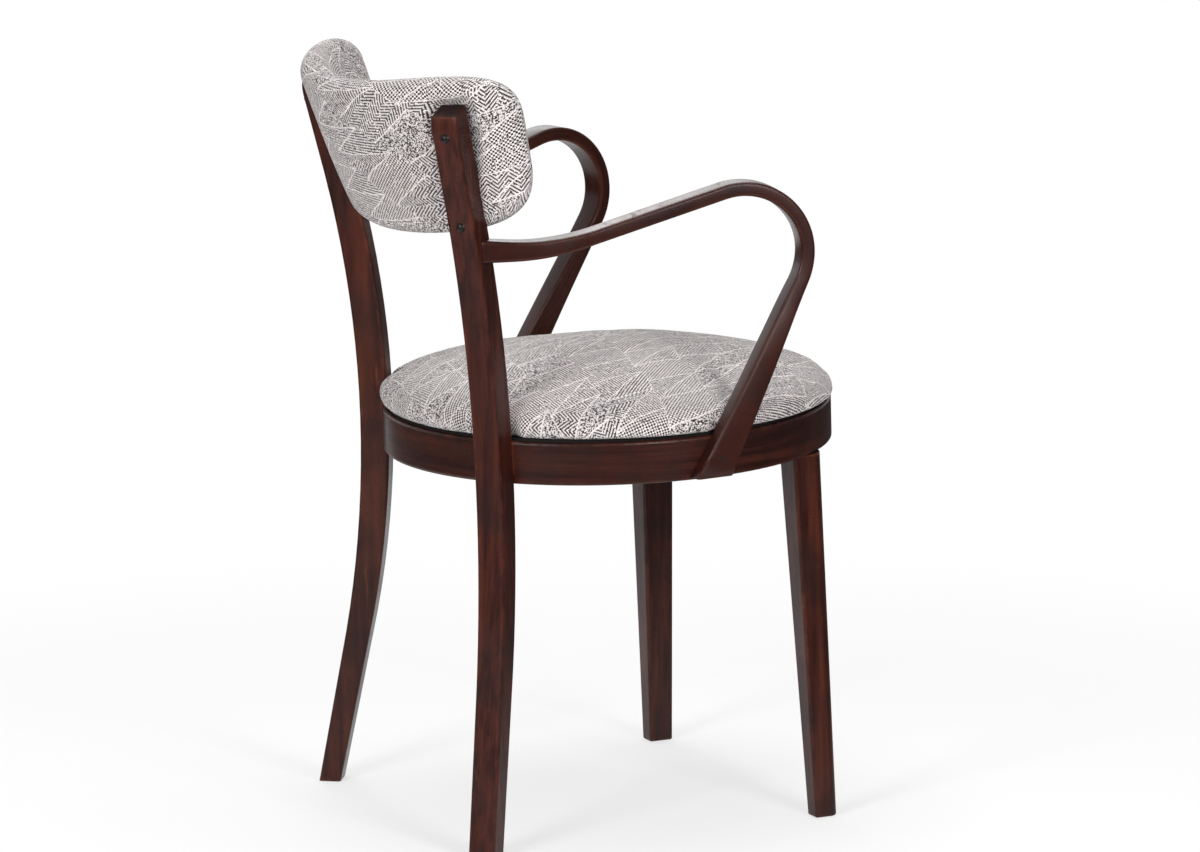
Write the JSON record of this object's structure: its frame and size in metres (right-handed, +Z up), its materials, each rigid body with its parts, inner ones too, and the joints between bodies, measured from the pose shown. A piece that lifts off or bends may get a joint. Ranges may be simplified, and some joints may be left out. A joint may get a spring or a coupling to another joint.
{
  "type": "bentwood armchair",
  "caption": "Bentwood armchair with a round upholstered seat, looped arms and a curved upholstered back panel.",
  "frame": {"origin": "bottom centre of the chair's bounding box, on the floor", "axes": "+Z up, front faces -Y, sitter's left is +X"},
  "size_m": [0.4964, 0.5466, 0.7813],
  "materials": {
    "frame_wood": "satin lacquer over dark brown stain",
    "block_wood": "raw",
    "plywood": "raw",
    "foam": "open",
    "cover_fabric": "woven black and cream",
    "black_lining": "matte",
    "steel": "zinc",
    "dark_steel": "satin black"
  },
  "bodies": {
    "root": {"seat_ring": "frame_wood", "rear_leg_left": "frame_wood", "rear_leg_right": "frame_wood", "front_leg_left": "frame_wood", "front_leg_right": "frame_wood", "arm_left": "frame_wood", "arm_right": "frame_wood", "seat_block_front_left": "block_wood", "seat_block_front_right": "block_wood", "seat_block_rear_left": "block_wood", "seat_block_rear_right": "block_wood", "arm_rear_dowels": "block_wood", "seat_board": "plywood", "backrest_panel": "plywood", "seat_foam": "foam", "backrest_front_foam": "foam", "backrest_rear_foam": "foam", "seat_cover": "cover_fabric", "backrest_front_cover": "cover_fabric", "backrest_rear_cover": "cover_fabric", "seat_dust_cover": "black_lining", "seat_block_screws": "steel", "seat_screws": "steel", "front_leg_screws": "steel", "rear_leg_bolts": "steel", "rear_leg_washers": "steel", "arm_front_screws": "steel", "backrest_tee_nuts": "steel", "seat_cover_staples": "steel", "backrest_screws": "dark_steel"}
  },
  "joints": []
}
